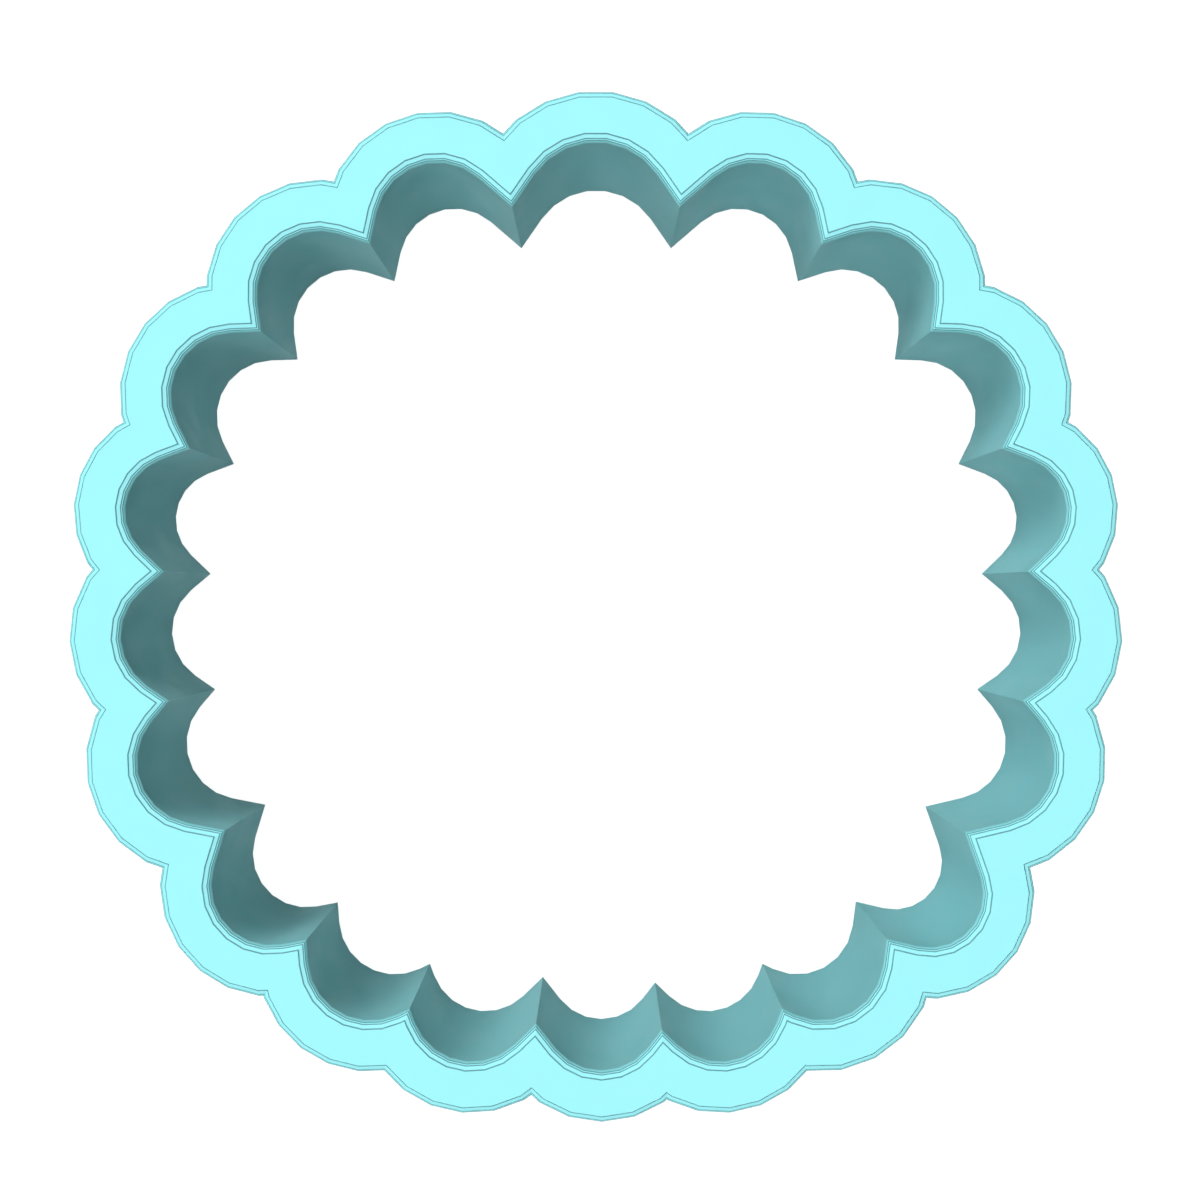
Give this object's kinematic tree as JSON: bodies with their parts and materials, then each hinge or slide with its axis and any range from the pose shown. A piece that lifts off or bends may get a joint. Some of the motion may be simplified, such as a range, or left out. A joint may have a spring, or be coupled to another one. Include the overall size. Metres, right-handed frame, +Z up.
{
  "type": "cookie cutter",
  "caption": "Round scalloped cookie cutter: a thin upright blade with a bevelled cutting edge, seated under a flat grip rim with rounded top edges.",
  "frame": {"origin": "middle of the cutter on the plane of the cutting edge", "axes": "+Z up from the cutting edge to the rim, +Y towards the largest scallop, +X to the right seen from above"},
  "size_m": [0.1006, 0.0982, 0.015],
  "materials": {
    "rim_plastic": "pale cyan printed plastic, smooth flat top, satin",
    "blade_plastic": "pale cyan printed plastic, fine level layer lines, satin"
  },
  "bodies": {
    "root": {"grip_rim": "rim_plastic", "cutting_blade": "blade_plastic"}
  },
  "joints": []
}
